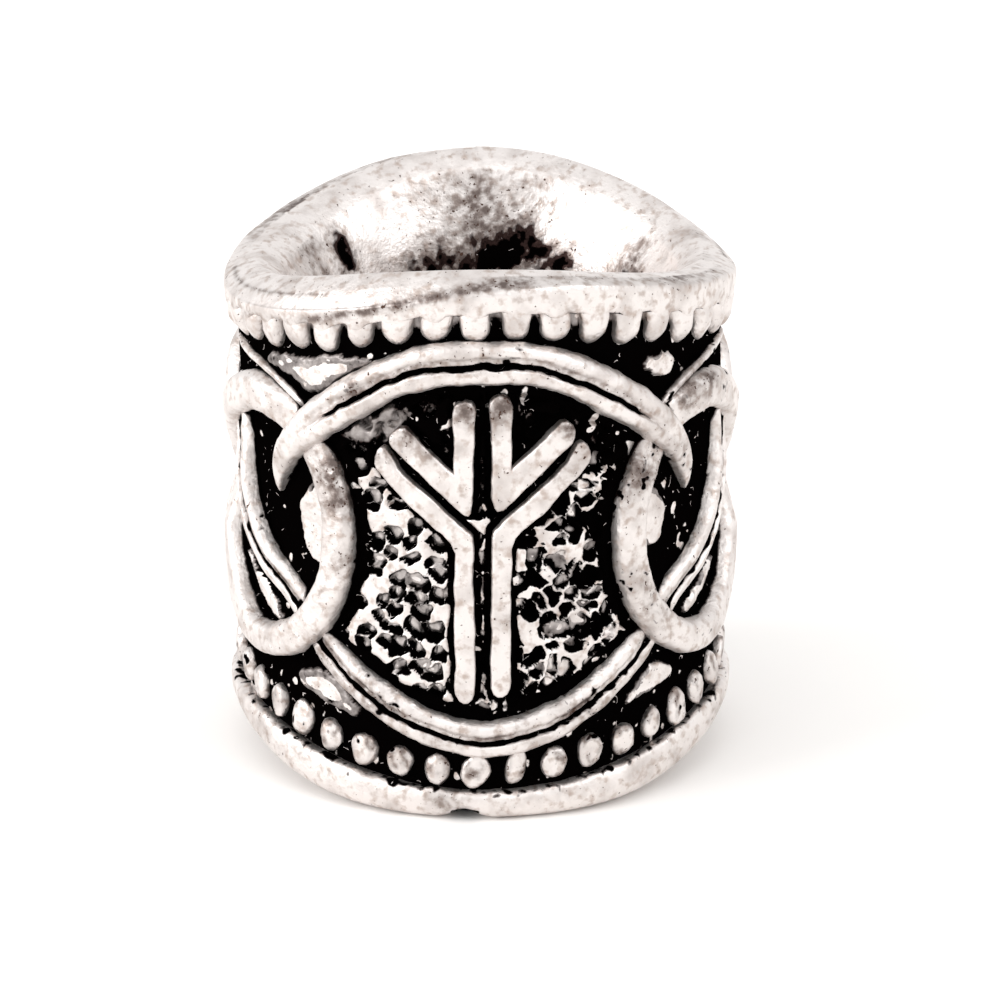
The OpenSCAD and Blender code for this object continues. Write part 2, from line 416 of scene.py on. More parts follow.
# %% The two outlines of the right half, in millimetres
RUNE_OUT, RUNE_SUNK = 0.32, 0.15
RUNE_SHIFT = -0.04
RUNE_EDGE, RUNE_CELL = 0.07, 0.09
HALVES = ((1, 0.03), (-1, -0.07))  # side and lift
V_OUTLINE = [
    (0.29, 0.93), (0.41, 0.97), (0.7, 1.22), (1.29, 1.775), (1.87, 2.3), (1.93, 2.42), (1.93, 2.55),
    (1.87, 2.68), (1.76, 2.78), (1.63, 2.79), (1.5, 2.68), (1.29, 2.49), (0.607, 1.85), (0.62, 3.2),
    (0.59, 3.31), (0.51, 3.39), (0.38, 3.42), (0.25, 3.39), (0.17, 3.31), (0.135, 3.2), (0.17, 2.43),
    (0.2, 1.24), (0.24, 1),
]
STEM_OUTLINE = [
    (0.165, -2.8), (0.18, -2.98), (0.24, -3.11), (0.33, -3.18), (0.43, -3.18), (0.52, -3.12),
    (0.58, -3), (0.595, -2.8), (0.6, 0.1), (0.69, 0.32), (0.84, 0.5), (1.215, 0.796), (1.7, 1.3),
    (1.97, 1.54), (2.2, 1.83), (2.25, 1.96), (2.24, 2.1), (2.18, 2.24), (2.1, 2.32), (2, 2.3),
    (1.88, 2.1), (1.76, 1.89), (1.42, 1.577), (0.587, 0.83), (0.26, 0.56), (0.2, 0.48), (0.185, 0.35),
]


def unrolled(outline, side, lift):
    """The outline on the sheet: seen from the front, the bead's curve narrows what lies at its sides."""
    return [(side * asin(x / (GROUND_R + RUNE_OUT)) * GROUND_R, z + lift) for x, z in outline]


def cut_out(bm, outline, side, back, lift, seed):
    part = new_piece()
    base = part.faces.new([part.verts.new((x, -RUNE_SUNK, z)) for x, z in unrolled(outline, side, lift)])
    top = bmesh.ops.extrude_face_region(part, geom=[base])["geom"]
    lifted = [g for g in top if isinstance(g, bmesh.types.BMVert)]
    bmesh.ops.translate(part, verts=lifted, vec=(0, RUNE_OUT + RUNE_SUNK, 0))
    rim = [e for e in part.edges if all(v.co.y > 0 for v in e.verts)]
    bmesh.ops.bevel(part, geom=rim, offset=RUNE_EDGE, offset_type="OFFSET", affect="EDGES", segments=3,
                    profile=0.5, material=-1, clamp_overlap=True)
    slice_up(part, RUNE_CELL)
    for vert in part.verts:
        x, y, z = vert.co
        y = min(y, RUNE_OUT) * (1 + 0.06 * wobble((x, 0, z), 0.8, seed))
        y += 0.012 * wobble((x, 0, z), 3, seed)
        x += uneven((x, 5, z), (0.035, 2.2, seed), (0.012, 6, seed))
        z += uneven((x, 9, z), (0.035, 2.2, seed), (0.012, 6, seed))
        vert.co = (x + back * pi * GROUND_R + RUNE_SHIFT, y, z)
    add_to(bm, part)


def slice_up(part, cell):
    """Cuts a flat part into cells with planes across x and z."""
    for axis in (0, 2):
        ends = [vert.co[axis] for vert in part.verts]
        place = min(ends) + cell
        while place < max(ends):
            centre, normal = Vector((0, 0, 0)), Vector((0, 0, 0))
            centre[axis], normal[axis] = place, 1
            bmesh.ops.bisect_plane(part, geom=part.verts[:] + part.edges[:] + part.faces[:],
                                   plane_co=centre, plane_no=normal, dist=1e-5)
            place += cell


pieces["runes"] = new_piece()
for back in (0, 1):
    for side, lift in HALVES:
        cut_out(pieces["runes"], V_OUTLINE, side, back, lift, 31 + side + 4 * back)
        cut_out(pieces["runes"], STEM_OUTLINE, side, back, lift, 33 + side + 4 * back)
print("runes", triangles(pieces["runes"].faces), "triangles")

# %% [markdown]
# ## Granules
# The borders look like rows of solder balls. The lower ones are separate and a little flat. The
# upper ones hang from the lip like pegs, because the master's maker joined each ball to the rim.
# Icospheres have no poles to show, so each granule is one, stretched and turned by a little, and
# filed flat in front. A peg keeps its width up to the lip and widens a little where it meets it.

# %% Two rows of granules
GRANULES = 40
GRANULE_R = 0.275
GRANULE_PHASE = radians(-2)
HANG = 0.42
PEG_STRETCH = 1.8


def filed(y, limit, kept):
    """A granule's front, which keeps only a share of what stands out past a limit."""
    return min(y, limit + kept * (y - limit))


def granule_row(upper):
    bm = new_piece()
    for i in range(GRANULES):
        turn = 2 * pi * i / GRANULES + GRANULE_PHASE
        luck = [noise.noise(Vector((3.7 * i + 11, 50.5 * k + (9 if upper else 0), 2.2))) for k in range(6)]
        ball = new_piece()
        worn, grey, smoke_and_shade = masks(ball)
        bmesh.ops.create_icosphere(ball, subdivisions=3, radius=GRANULE_R)
        tilt = Euler((0.4 * luck[0], 0.5 * luck[1], 0.4 * luck[2])).to_matrix()
        wide = (1.06 if upper else 0.98) + 0.2 * luck[3]
        tall = (1.3 if upper else 1.36) + 0.25 * luck[4]
        longer = 0.1 * bell(sin(turn), -0.6, 0.2) if upper and cos(turn) > 0 else 0
        middle_z = (field_h(turn) - HANG - longer) * (1 if upper else -1) + 0.08 * luck[5]
        rough = 1 if upper else 1.9
        for vert in ball.verts:
            own = vert.co + Vector((i, 0, 0))
            co = vert.co * (1 + rough * uneven(own, (0.14, 2.5, 3), (0.05, 7, 3.5)))
            if upper:
                share = min(max(vert.co.z / GRANULE_R, 0), 0.95)
                co.x, co.y = co.x / (1 - share ** 2) ** 0.5, co.y / (1 - share ** 2) ** 0.5
                co.y = filed(co.y, 0.2, 0.25) + 0.04 - 0.07 * ease(0.5, 0.95, share)
                vert[worn] = 0.1 * ease(-0.05, 0.15, co.z)
            else:
                co.y = filed(co.y, 0.15, 0.2)
                # Smoke and dark bites grow towards each lower granule's top: partly dirt, partly painted
                # shade.
                smoky_and_shaded = 0.8 * co.z + uneven(own, (1.1, 3.5, 4), (0.7, 8, 4.5))
                dented_and_shaded = 1.5 * co.z + uneven(own, (1, 4.5, 6.6), (0.4, 11, 6.7))
                vert[smoke_and_shade] = 0.7 * ease(0, 0.4, smoky_and_shaded)
                vert[worn] = -0.1 * ease(0.35, 0.7, dented_and_shaded)
            co = tilt @ Vector((co.x * wide, co.y, co.z * tall))
            if upper:
                co.y -= 0.16 * ease(0.1, -0.35, co.z)
                co.x *= 1 + 0.2 * ease(0.1, 0.5, PEG_STRETCH * co.z)
                co.z *= PEG_STRETCH if co.z > 0 else 1
            vert.co = (turn * GROUND_R + co.x, co.y + 0.015, middle_z + co.z)
        add_to(bm, ball)
    return bm


pieces["upper_granules"] = granule_row(True)
pieces["lower_granules"] = granule_row(False)
print("granules", triangles(pieces["upper_granules"].faces), "triangles a row")

# %% [markdown]
# ## Rims and bore
# The lip has an upright outer face, then a bevel up to its crest, and behind the crest it slopes
# down into a flared mouth. The foot is a plain round band. A shape that is the same all the way
# round is best made by spinning one profile. What differs around the bead is moved afterwards: the
# saddle by which the rims dip at the sides, the bevel that was filed lower at the left, the
# scallops where the pegs grow out of the lip, and the shallow waves of polishing by hand.

# %% The profile, spun once around
# LIP and FOOT say how far in from the rim's face a point lies and how far below the crest. FLARE
# holds a radius and a height.
RIM_R = GROUND_R + RIM_OUT
THROAT_Z = FRONT_H / 2 - FLARE_DEPTH
LIP_Z = FRONT_H / 2 - LIP_ROUND
FIELD = field_h(0)
CREST_IN = 0.68
BEVEL_DROP = 0.3
SECOND_CORNER = 0.155
BORE_FROM = RIM_R - 1.25
LIP = [(0.3, 0.7), (0.1, 0.695), (0.02, 0.64), (0, 0.55), (0, 0.4), (0.015, 0.34), (0.05, 0.29),
       (0.14, 0.22), (0.24, SECOND_CORNER), (0.3, 0.12), (0.45, 0.06), (0.6, 0.015), (CREST_IN, 0),
       (0.78, 0.02), (1, 0.13), (1.2, 0.28), (LIP_W, 0.42)]
FOOT = [(0.3, 0.7), (0.1, 0.695), (0.02, 0.6), (0, 0.45), (0.02, 0.28), (0.1, 0.12), (0.26, 0.03),
        (0.5, 0), (0.8, 0.01), (1.05, 0.12), (1.2, 0.28), (LIP_W, 0.42)]
FLARE = [(4, 5.2), (3.85, 4.86), (3.72, 4.5), (3.61, 4.1), (3.53, 3.7), (BORE_R, THROAT_Z),
         (BORE_R, 0.75 * THROAT_Z), (BORE_R, 0.4 * THROAT_Z), (BORE_R, 0)]


def rim_profile(rows):
    """Half a section, from the bead's waist outside, over the rim, to the waist of the bore."""
    rim = [(RIM_R - inwards, FRONT_H / 2 - down) for inwards, down in rows]
    waist = [(GROUND_R - 0.2, FIELD / 2), (GROUND_R - 0.2, FIELD)]
    return waist + spline(rim + FLARE[:-1], fine=3) + FLARE[-1:]


SPIN_STEPS = 16 * GRANULES
body = new_piece()
lower = [(r, -z) for r, z in rim_profile(FOOT)]
loop = [body.verts.new((r, 0, z)) for r, z in rim_profile(LIP) + lower[-2::-1]]
for a, b in zip(loop, loop[1:] + loop[:1]):
    body.edges.new((a, b))
bmesh.ops.spin(body, geom=body.verts[:] + body.edges[:], cent=(0, 0, 0), axis=(0, 0, 1),
               angle=2 * pi, steps=SPIN_STEPS, use_merge=True)
print("profile", len(loop), "points, body", len(body.faces), "faces")


# %% The saddle, the filed bevel, the scallops, the polish and a nick in the foot
NICK_AT, NICK_W, NICK_DEEP = -0.42, 0.32, 0.2


def folded(turn):
    """The same angle on the front half, because the back repeats the front."""
    return (turn + pi / 2) % pi - pi / 2


def bevel_drop(turn):
    """How far the lip's corner lies below its crest: the bevel was filed lower at the left."""
    return max(BEVEL_DROP - 0.28 * sin(2 * turn), 0.12)


def lip_hang(turn):
    """How far the lip's lower edge hangs below the field's end: by scallops, and more at the left."""
    scallop = max(cos(GRANULES * (turn - GRANULE_PHASE)), -0.35)
    return 0.07 + 0.2 * bell(folded(turn), radians(-33), radians(24)) + 0.11 * scallop


def settle(vert):
    """Moves a vertex of the spun body to where the dips, the file and the polish leave it."""
    x, y, z = vert.co
    turn, r, over, high_z = atan2(x, -y), hypot(x, y), z > 0, abs(z)
    here = Vector((x, y, z))
    field_dip = FIELD - field_h(turn)
    crest_dip = FRONT_H / 2 - crest_h(turn, over)
    outside = ease(RIM_R - CREST_IN, RIM_R - 0.2, r)
    if r < BORE_FROM:
        dip = crest_dip * min(max((high_z - THROAT_Z) / (LIP_Z - THROAT_Z), 0), 1)
    elif high_z > FIELD - 0.01:
        dip = field_dip + (crest_dip - field_dip) * max(ease(FIELD, FIELD + 0.3, high_z), 1 - outside)
    else:
        dip = field_dip * high_z / FIELD
    if r > RIM_R - CREST_IN and high_z > FIELD - 0.01:
        low_edge = 1 - ease(FIELD, FIELD + 0.22, high_z)
        r += uneven(here, (0.02, 0.6, 41), (0.012, 1.6, 43))
        dip += 0.06 * low_edge * wobble(here, 2.6, 44)
        if over:
            down, drop = FRONT_H / 2 - high_z, bevel_drop(turn)
            if down < BEVEL_DROP:
                dip += down * drop / BEVEL_DROP - down
            else:
                dip += drop + (down - BEVEL_DROP) * (RIM_H - drop) / (RIM_H - BEVEL_DROP) - down
            dip += low_edge * lip_hang(turn)
        else:
            dip -= 0.06 * low_edge
            nick = bell(turn * GROUND_R, NICK_AT, NICK_W)
            dip += NICK_DEEP * nick * ease(FRONT_H / 2 - 0.5, FRONT_H / 2, high_z)
    if r < RIM_R - 0.5:
        r += 0.03 * ease(THROAT_Z, LIP_Z, high_z) * wobble(here, 0.7, 47) + 0.005 * wobble(here, 2.2, 48)
    r = min(r, RIM_R + 0.03)
    vert.co = (r * sin(turn), -r * cos(turn), (high_z - dip) * (1 if over else -1))


for vert in body.verts:
    settle(vert)
bmesh.ops.recalc_face_normals(body, faces=body.faces)
pieces["rims_and_bore"] = body
print("crest heights:", [round(crest_h(radians(t)), 2) for t in (0, 45, 90)])

# %% [markdown]
# ## The pitted ground
# Behind the rune the ground was punched with a small round tool, blow beside blow. Between the
# blows a ragged bright web is left, and in each pit stands a dull grey nodule with a black rim,
# which is widest below it. So the sheet is divided into small cells, and each cell gets one pit at
# a place and of a size that are drawn by lot. The distance to the nearest middle cuts the pit, and
# the nearly equal distance to two middles leaves the web. At the left of the rune the pits are few
# and the ground between them is broad. At the right they crowd to a net. Low pads fill the corners
# between the strands. Each is a short line of changing breadth, grey at its rim and bright within.
# A grey film is left under the lip, and a haze beside the top of the rune.

# %% How far a place on the sheet is from the strands and from the rune
GIRTH = 2 * pi * GROUND_R
one_round = [row for group in lines.values() for line in group for row in line[::2]]
strand_points = [(x + k * GIRTH, z, half) for x, z, half, *_ in one_round for k in (-1, 0, 1)]
strand_tree = tree_of([point[:2] for point in strand_points])


def strand_gap(x, z):
    """Distance to the nearest strand's edge, less than 0 under the strand."""
    return min(distance - strand_points[i][2] for _, i, distance in strand_tree.find_n((x, 0, z), 2))


rune_line = []
for side, lift in HALVES:
    for outline in (V_OUTLINE, STEM_OUTLINE):
        flat = [(x + RUNE_SHIFT, z) for x, z in unrolled(outline, side, lift)]
        rune_line += even(flat + flat[:1])
rune_tree = tree_of(rune_line)


def height_at(line, x):
    return min(line, key=lambda row: abs(row[0] - x))[1]


PANEL_STEP, PANEL_HALF = 0.05, 3.9
arch_at, cradle_at = [[height_at(lines[name][0], PANEL_STEP * k) for k in range(80)]
                      for name in ("arch", "cradle")]


def in_panel(x, z):
    """Whether a place lies between arch and cradle, and between the rings' front arms."""
    x = abs(x)
    in_ring = hypot((x - radians(RING_ANGLE) * GROUND_R) / (RING_W / 2), z / (RING_H / 2)) < 1
    if x > PANEL_HALF or in_ring:
        return False
    k = int(x / PANEL_STEP)
    return cradle_at[k] < z < arch_at[k]


print("gap to the nearest strand at the panel's middle:", round(strand_gap(0, 0), 2))

# %% Pits drawn by lot
PIT_SPACING = 0.4
WEB, PIT_FLOOR, NODULE = 0.15, -0.12, 0.13
MARGIN = 0.14


@functools.cache
def pit_at(i, j, back):
    """The pit that was punched in one cell of the sheet: its middle, its reach, and how it shines."""
    cells = [Vector((i + 0.5, j + 0.5, 7 * k + 20 * back + 0.5)) for k in range(4)]
    luck = [(1 + noise.cell(cell)) / 2 for cell in cells]
    reach = (0.42 if i < 0 else 0.55) + 0.2 * luck[2]
    across, up = [MARGIN + (1 - 2 * MARGIN) * share for share in luck[:2]]
    return i + across, j + up, reach if luck[3] < 0.92 else 0.01, luck[3]


def pits(x, z, here, back):
    """Height, brightness and greyness of the punched ground."""
    netted = ease(-0.1, 0.1, x)
    bend = 0.14 + 0.1 * netted
    u = (x + uneven(here, (bend, 1.6, 60), (0.09, 5, 61))) / PIT_SPACING
    v = (z + uneven(here, (bend, 1.6, 62), (0.09, 5, 63))) / PIT_SPACING
    best, second, inner, shine = 9, 9, 9, 0
    for i in range(floor(u) - 1, floor(u) + 2):
        for j in range(floor(v) - 1, floor(v) + 2):
            cu, cv, reach, luck = pit_at(i, j, back)
            edge = hypot(u - cu, v - cv) / reach
            if edge < best:
                best, second, inner, shine = edge, best, hypot(u - cu, v - cv - 0.12) / reach, luck
            elif edge < second:
                second = edge
    ridge = 0.06 + 0.07 * netted + (0.18 + 0.2 * netted) * wobble(here, 1.7, 64) - (second - best)
    bright = max(0.3 * (best - 0.98), 0.22 * ridge)
    cut = ease(0.93, 0.7, best) * ease(0, -0.15, ridge)
    inner += uneven(here, (0.22, 3.5, 65), (0.12, 9, 66)) + 0.8 * netted * ease(0.55, 0.15, shine)
    nodule = ease(0.85, 0.45, inner)
    dull = min(0.4 * (0.76 - 0.16 * netted - inner), 0.035 - 0.01 * netted) + 0.03 * wobble(here, 5, 67)
    shiny = 0.25 * (1 + netted) * ease(0.5, 0.8, shine)
    bright = max(bright, 0.3 * (shiny - 0.05 - inner))
    return WEB * (1 - cut) + (NODULE * nodule + PIT_FLOOR) * cut, min(bright, 0.08), dull


print("one pit's middle and reach, in cells:", [round(value, 2) for value in pit_at(2, -3, 0)[:3]])

# %% Pads
# Each row says how far apart a pad's grey and bright edges lie, then its line of angle, height and
# radius.
PADS = {
    "above the arch, left": (0.2, [
        (-57, 3.5, 0.12), (-51, 3.52, 0.2), (-44, 3.42, 0.36), (-37.5, 3.66, 0.3), (-31.5, 3.88, 0.15),
        (-27, 3.97, 0.08)]),
    "above the arch, right": (0.03, [(41, 3.68, 0.13), (44, 3.6, 0.2), (47, 3.56, 0.2)]),
    "inside the left ring": (0.06, [
        (-41, 0.9, 0.25), (-42.5, 0.45, 0.38), (-42.5, 0.1, 0.38), (-41, -0.4, 0.25)]),
    "inside the right ring": (0.05, [(41.5, 0.65, 0.3), (42.5, 0.35, 0.35), (42, 0, 0.32)]),
    "under the cradle, left": (0.19, [
        (-46, -3.32, 0.2), (-41, -3.36, 0.34), (-37, -3.48, 0.3), (-32.5, -3.74, 0.15)]),
    "under the cradle, right": (0.03, [
        (47.5, -3.32, 0.17), (43, -3.28, 0.27), (39.5, -3.48, 0.17), (35.5, -3.68, 0.08)]),
    "low in the left ring": (0.04, [
        (-71, -1.2, 0.08), (-65, -1.6, 0.1), (-60, -1.9, 0.17), (-55, -2.2, 0.1)]),
    "low in the right ring": (0.04, [(69, -1.35, 0.07), (62, -1.78, 0.1), (56, -2.12, 0.12)]),
}
pad_rows = []
for margin, rows in PADS.values():
    flat = [(radians(angle) * GROUND_R, z, radius, margin) for angle, z, radius in rows]
    pad_rows += even(spline(flat))
pad_tree = tree_of([row[:2] for row in pad_rows])


def pad_depth(x, z):
    """How deep a place lies inside the nearest pad, and how far in that pad turns bright."""
    near = pad_tree.find_n((x, 0, z), 4)
    return max((pad_rows[i][2] - distance, pad_rows[i][3]) for _, i, distance in near)


print(len(PADS), "pads")

# %% One place on the ground, which is black with bright specks: painted glints, and small lumps near the foot
PAD_OUT = 0.12
HAZE_X, HAZE_Z = -2.3, 2.62


def ground(x, z, back):
    """Height, brightness and greyness: over the black lie pads, the punched panel and a grey film."""
    here = on_bead(x + back * GIRTH / 2, 0, z)
    gap = strand_gap((x + back * GIRTH / 2) % GIRTH, z)
    x = (x + GIRTH / 4) % (GIRTH / 2) - GIRTH / 4
    near_foot = ease(0.55, 0.15, z + field_h(x / GROUND_R))
    # Bright silver specks with a little relief: painted glints in the black lacquer, and small bright
    # lumps near the foot.
    glint = uneven(here, (1, 4.5, 70.6), (0.3, 1.1, 71)) - 0.5 + 0.2 * near_foot
    height = 0.02 * wobble(here, 2.5, 72) + 0.04 * max(glint, 0)
    worn, grey = 0.25 * glint - 0.03, -0.1
    depth, margin = pad_depth(x, z)
    depth += uneven(here, (0.07, 2.2, 77), (0.05, 6, 78))
    if depth > -0.05:
        height += PAD_OUT * ease(-0.05, 0.05, depth)
        worn = max(worn, min(depth - margin + 0.12 * wobble(here, 2.8, 79), 0.08))
        rim_light = 0.02 * bell(depth, 0.015, 0.012)
        grey = max(grey, min(0.5 * depth, 0.016 + 0.012 * wobble(here, 2.5, 79.5)) + rim_light)
    elif gap > -0.1 and in_panel(x, z):
        pit, bright, dull = pits(x, z, here, back)
        lumps = bell(x, HAZE_X, 0.95) * bell(z, HAZE_Z + 0.36 * (x - HAZE_X), 0.33)
        open_ground = ease(0.1, 0.36, gap + 0.14 * wobble(here, 2, 73) + 0.3 * lumps)
        to_rune = rune_tree.find((x, 0, z))[2]
        beside_rune = ease(0.05, 0.16, to_rune + 0.07 * wobble(here, 1.8, 75))
        below_branches = ease(2.1, 1.5, z + 0.4 * wobble(here, 0.9, 74))
        shown = min(open_ground, beside_rune)
        height = height * (1 - shown) + pit * shown
        worn = max(worn, bright - 0.3 * (1 - min(shown, below_branches)))
        faint = 0.035 * (1 + 1.6 * wobble(here, 1.3, 76))
        grey = dull - 0.3 * (1 - shown) - (1 - below_branches) * faint
        haze = 0.12 * lumps - 0.06 + uneven(here, (0.05, 2.5, 76.3), (0.02, 6, 76.9))
        grey = max(grey, min(haze, 0.02 + 0.015 * wobble(here, 4, 76.6)))
    turn = x / GROUND_R
    film = 0.25 + 0.3 * wobble(here, 2.2, 68) - (field_h(turn) - lip_hang(turn + back * pi) - z)
    grey = max(grey, min(0.25 * film, 0.022 + 0.015 * wobble(here, 5, 69)))
    return height, worn, grey


print("height, wear and grey left of the rune:", [round(value, 3) for value in ground(-1.3, -1, 0)])

# %% Four sheets: fine ones for the two panels, and plainer ones for the sides
PANEL_SPAN = 5.3
UNDER_RIMS = 0.06
SUNK = (-0.3, -0.2, -0.2)


def ground_sheet(start, end, back, across, tall):
    """A sheet with walls that go down into the bead's wall, so that no gap shows at its ends."""
    sheet = new_piece()
    bmesh.ops.create_grid(sheet, x_segments=across, y_segments=tall, size=1)
    rim = [e for e in sheet.edges if e.is_boundary]
    walls = bmesh.ops.extrude_edge_only(sheet, edges=rim)["geom"]
    sunk = {g.index for g in walls if isinstance(g, bmesh.types.BMVert)}
    worn, grey = masks(sheet)[:2]
    for vert in sheet.verts:
        x = start + (end - start) * (vert.co.x + 1) / 2
        z = vert.co.y * (field_h(x / GROUND_R) + UNDER_RIMS)
        height, vert[worn], vert[grey] = SUNK if vert.index in sunk else ground(x, z, back)
        vert.co = (x + back * pi * GROUND_R, height, z)
    wrap(sheet)
    bmesh.ops.recalc_face_normals(sheet, faces=sheet.faces)
    return sheet


for back, name in enumerate(("front", "back")):
    pieces["ground_" + name] = ground_sheet(-PANEL_SPAN, PANEL_SPAN, back, 286, 284)
for back, name in enumerate(("right", "left")):
    pieces["ground_" + name] = ground_sheet(PANEL_SPAN, GIRTH / 2 - PANEL_SPAN, back, 96, 180)
print("ground", triangles(pieces["ground_front"].faces), "triangles at the front")

# %% [markdown]
# ## Where the tumbling rubbed the black off
# Stones in a tumbler reach what stands proud and miss what lies low. So the wear is measured. Rays
# shot at the bead from all around give a map of how far out its surface is. The map is blurred,
# and a point that stands out from the blurred map is bright, while one that lies below it stays
# black. This also darkens the seams where one strand passes under another. Each vertex keeps three
# numbers: how far it is past the limit of bright, how far past that of grey, and how much brown
# smoke and painted shade lie on it. Two tables name the places where the real bead has kept more
# dirt, and where painted shade and a painted dark reflection lie.

# %% A map of the surface, and its blur
CELL = 0.08
RAY_FROM, RAY_LENGTH = 8, 4.5
COLS = round(GIRTH / CELL)
ROWS = round(FRONT_H / CELL)


def height_map():
    verts, faces = [], []
    for bm in pieces.values():
        start = len(verts)
        bm.verts.index_update()
        verts += [vert.co.copy() for vert in bm.verts]
        faces += [[start + vert.index for vert in face.verts] for face in bm.faces]
    tree = BVHTree.FromPolygons(verts, faces)
    rows = []
    for j in range(ROWS):
        z, row = (j + 0.5) * CELL - FRONT_H / 2, []
        for i in range(COLS):
            turn = i * 2 * pi / COLS
            outward = Vector((sin(turn), -cos(turn), 0))
            hit = tree.ray_cast(outward * RAY_FROM + Vector((0, 0, z)), -outward, RAY_LENGTH)
            row.append(RAY_FROM - hit[3] - GROUND_R if hit[0] else UNSEEN)
        rows.append(row)
    return rows


def blurred(rows, reach):
    """Two passes of a box blur, which come close to a soft round one."""
    for _ in range(2):
        wide = []
        for row in rows:
            total = sum(row[k] for k in range(-reach, reach + 1))
            line = []
            for i in range(COLS):
                line.append(total / (2 * reach + 1))
                total += row[(i + reach + 1) % COLS] - row[(i - reach) % COLS]
            wide.append(line)
        rows = []
        for j in range(ROWS):
            near = wide[max(j - reach, 0):j + reach + 1]
            rows.append([sum(column) / len(near) for column in zip(*near)])
    return rows


surface = height_map()
near_level = blurred(surface, 3)
wide_level = blurred(surface, 6)
print("map", COLS, "by", ROWS, "cells, highest", round(max(map(max, surface)), 2), "mm over the ground")


def level(rows, turn, z):
    """The map at a place, between its cells."""
    u, v = (turn / (2 * pi) * COLS) % COLS, min(max((z + FRONT_H / 2) / CELL - 0.5, 0), ROWS - 1.001)
    i, j = int(u), int(v)
    s, t = u - i, v - j
    i, k = i % COLS, (i + 1) % COLS
    lower, upper = [row[i] * (1 - s) + row[k] * s for row in rows[j:j + 2]]
    return lower * (1 - t) + upper * t


# %% The wear of the strands, the rune and the granules
PROUD_ENOUGH = 0.12
HALF_GONE = 0.03


def roughly(point):
    """The unevenness that every edge between bright and black has, in millimetres."""
    return uneven(point, (0.035, 1.7, 80), (0.02, 5, 81), (0.012, 11, 81.5))


# Each row is one dirty place: its angle, height and reach, then how smoky and how dented it is.
# At the rune's ends the smoke is partly painted shade, where their tips slope down.
GRIME_AND_SHADE = [
    # side rings
    (-34, 1.7, 0.45, 1, 0.6), (-32.6, 1, 0.5, 1, 0.5), (-38, 1.5, 0.35, 0.6, 0),
    (-32, -0.5, 0.4, 0.4, 0.4), (-38, -2.6, 0.4, 0.6, 0.3), (35, 1.5, 0.75, 0.75, 0.75),
    (38, -0.9, 0.6, 0.35, 0.4), (41, -1.9, 0.5, 0.3, 0.4), (37, -3, 0.4, 0.3, 0.4),
    (51, 2.85, 0.35, 1, 0.6), (59, 3, 0.35, 1, 0.6), (-56, 3.6, 0.6, 0.3, 0),
    # the rune's ends, whose smoke is partly painted shade, and its stem
    (-4, 3.15, 0.3, 1.3, 0.3), (4.5, 3.25, 0.33, 1.6, 0.3), (-17, 2.7, 0.35, 1.3, 0.4),
    (-12, 2.35, 0.3, 1, 0.5), (19, 2.7, 0.3, 1, 0.2), (-22.5, 2.1, 0.25, 0.8, 0.3),
    (23, 2.2, 0.2, 0.3, 0.6), (5.5, -1.4, 0.3, 0.3, 0.5),
    # arch, cradle and foot
    (-28.5, 3.4, 0.22, 1.2, 0.3), (-48, 2.2, 0.3, 0, 0.3), (48, 1.6, 0.3, 0.3, 0.4),
    (-27, -3.4, 0.6, 0.5, 0.45), (22, -3.7, 0.5, 0.4, 0.4), (-9, -5.5, 0.35, 0, 0.5),
]


def grime_and_shade(turn, z):
    """Smoke, partly painted shade, and dents at one place. The back has them where the front does."""
    angle, smoky_and_shaded, pitted = degrees(folded(turn)), 0, 0
    for at, height, reach, smoke_and_shade, dents in GRIME_AND_SHADE:
        near = bell(hypot(radians(angle - at) * GROUND_R, z - height), 0, reach)
        smoky_and_shaded, pitted = smoky_and_shaded + smoke_and_shade * near, pitted + dents * near
    return smoky_and_shaded, pitted


def wear(bm, bias, dirt):
    """Bias shifts the limit of bright. Dirt says how much black the top has kept in its dents."""
    worn, grey, smoke_and_shade = masks(bm)
    for vert in bm.verts:
        x, y, z = vert.co
        turn, out = atan2(x, -y), hypot(x, y) - GROUND_R
        proud = out - 0.6 * level(near_level, turn, z) - 0.4 * level(wide_level, turn, z)
        smoky_and_shaded, pitted = grime_and_shade(turn, z)
        dents = uneven(vert.co, (0.7, 0.7, 82), (0.7, 3.2, 83), (1, 8, 84))
        dents = dirt * max(dents + 0.8 * pitted - 0.62, 0)
        shade = min(proud + bias, PROUD_ENOUGH) + roughly(vert.co) - dents
        vert[worn] += shade
        vert[grey] += shade + HALF_GONE + 0.3 * dents
        vert[smoke_and_shade] += smoky_and_shaded * (0.8 + 0.7 * wobble(vert.co, 2.5, 85))
        vert[smoke_and_shade] += 0.5 * max(wobble(vert.co, 1.3, 85.5) - 0.25, 0)


for name, bias, dirt in (("arches", 0.06, 0.35), ("cradles", 0.08, 0.35), ("side_rings", 0.07, 0.5),
                         ("twigs", 0.02, 0.6), ("runes", 0.06, 0.25), ("upper_granules", 0.12, 0.25),
                         ("lower_granules", 0.06, 0.9)):
    wear(pieces[name], bias, dirt)
    layer = masks(pieces[name])[0]
    share = sum(vert[layer] > 0 for vert in pieces[name].verts) / len(pieces[name].verts)
    print(name, "bright on", round(100 * share), "percent of its vertices")

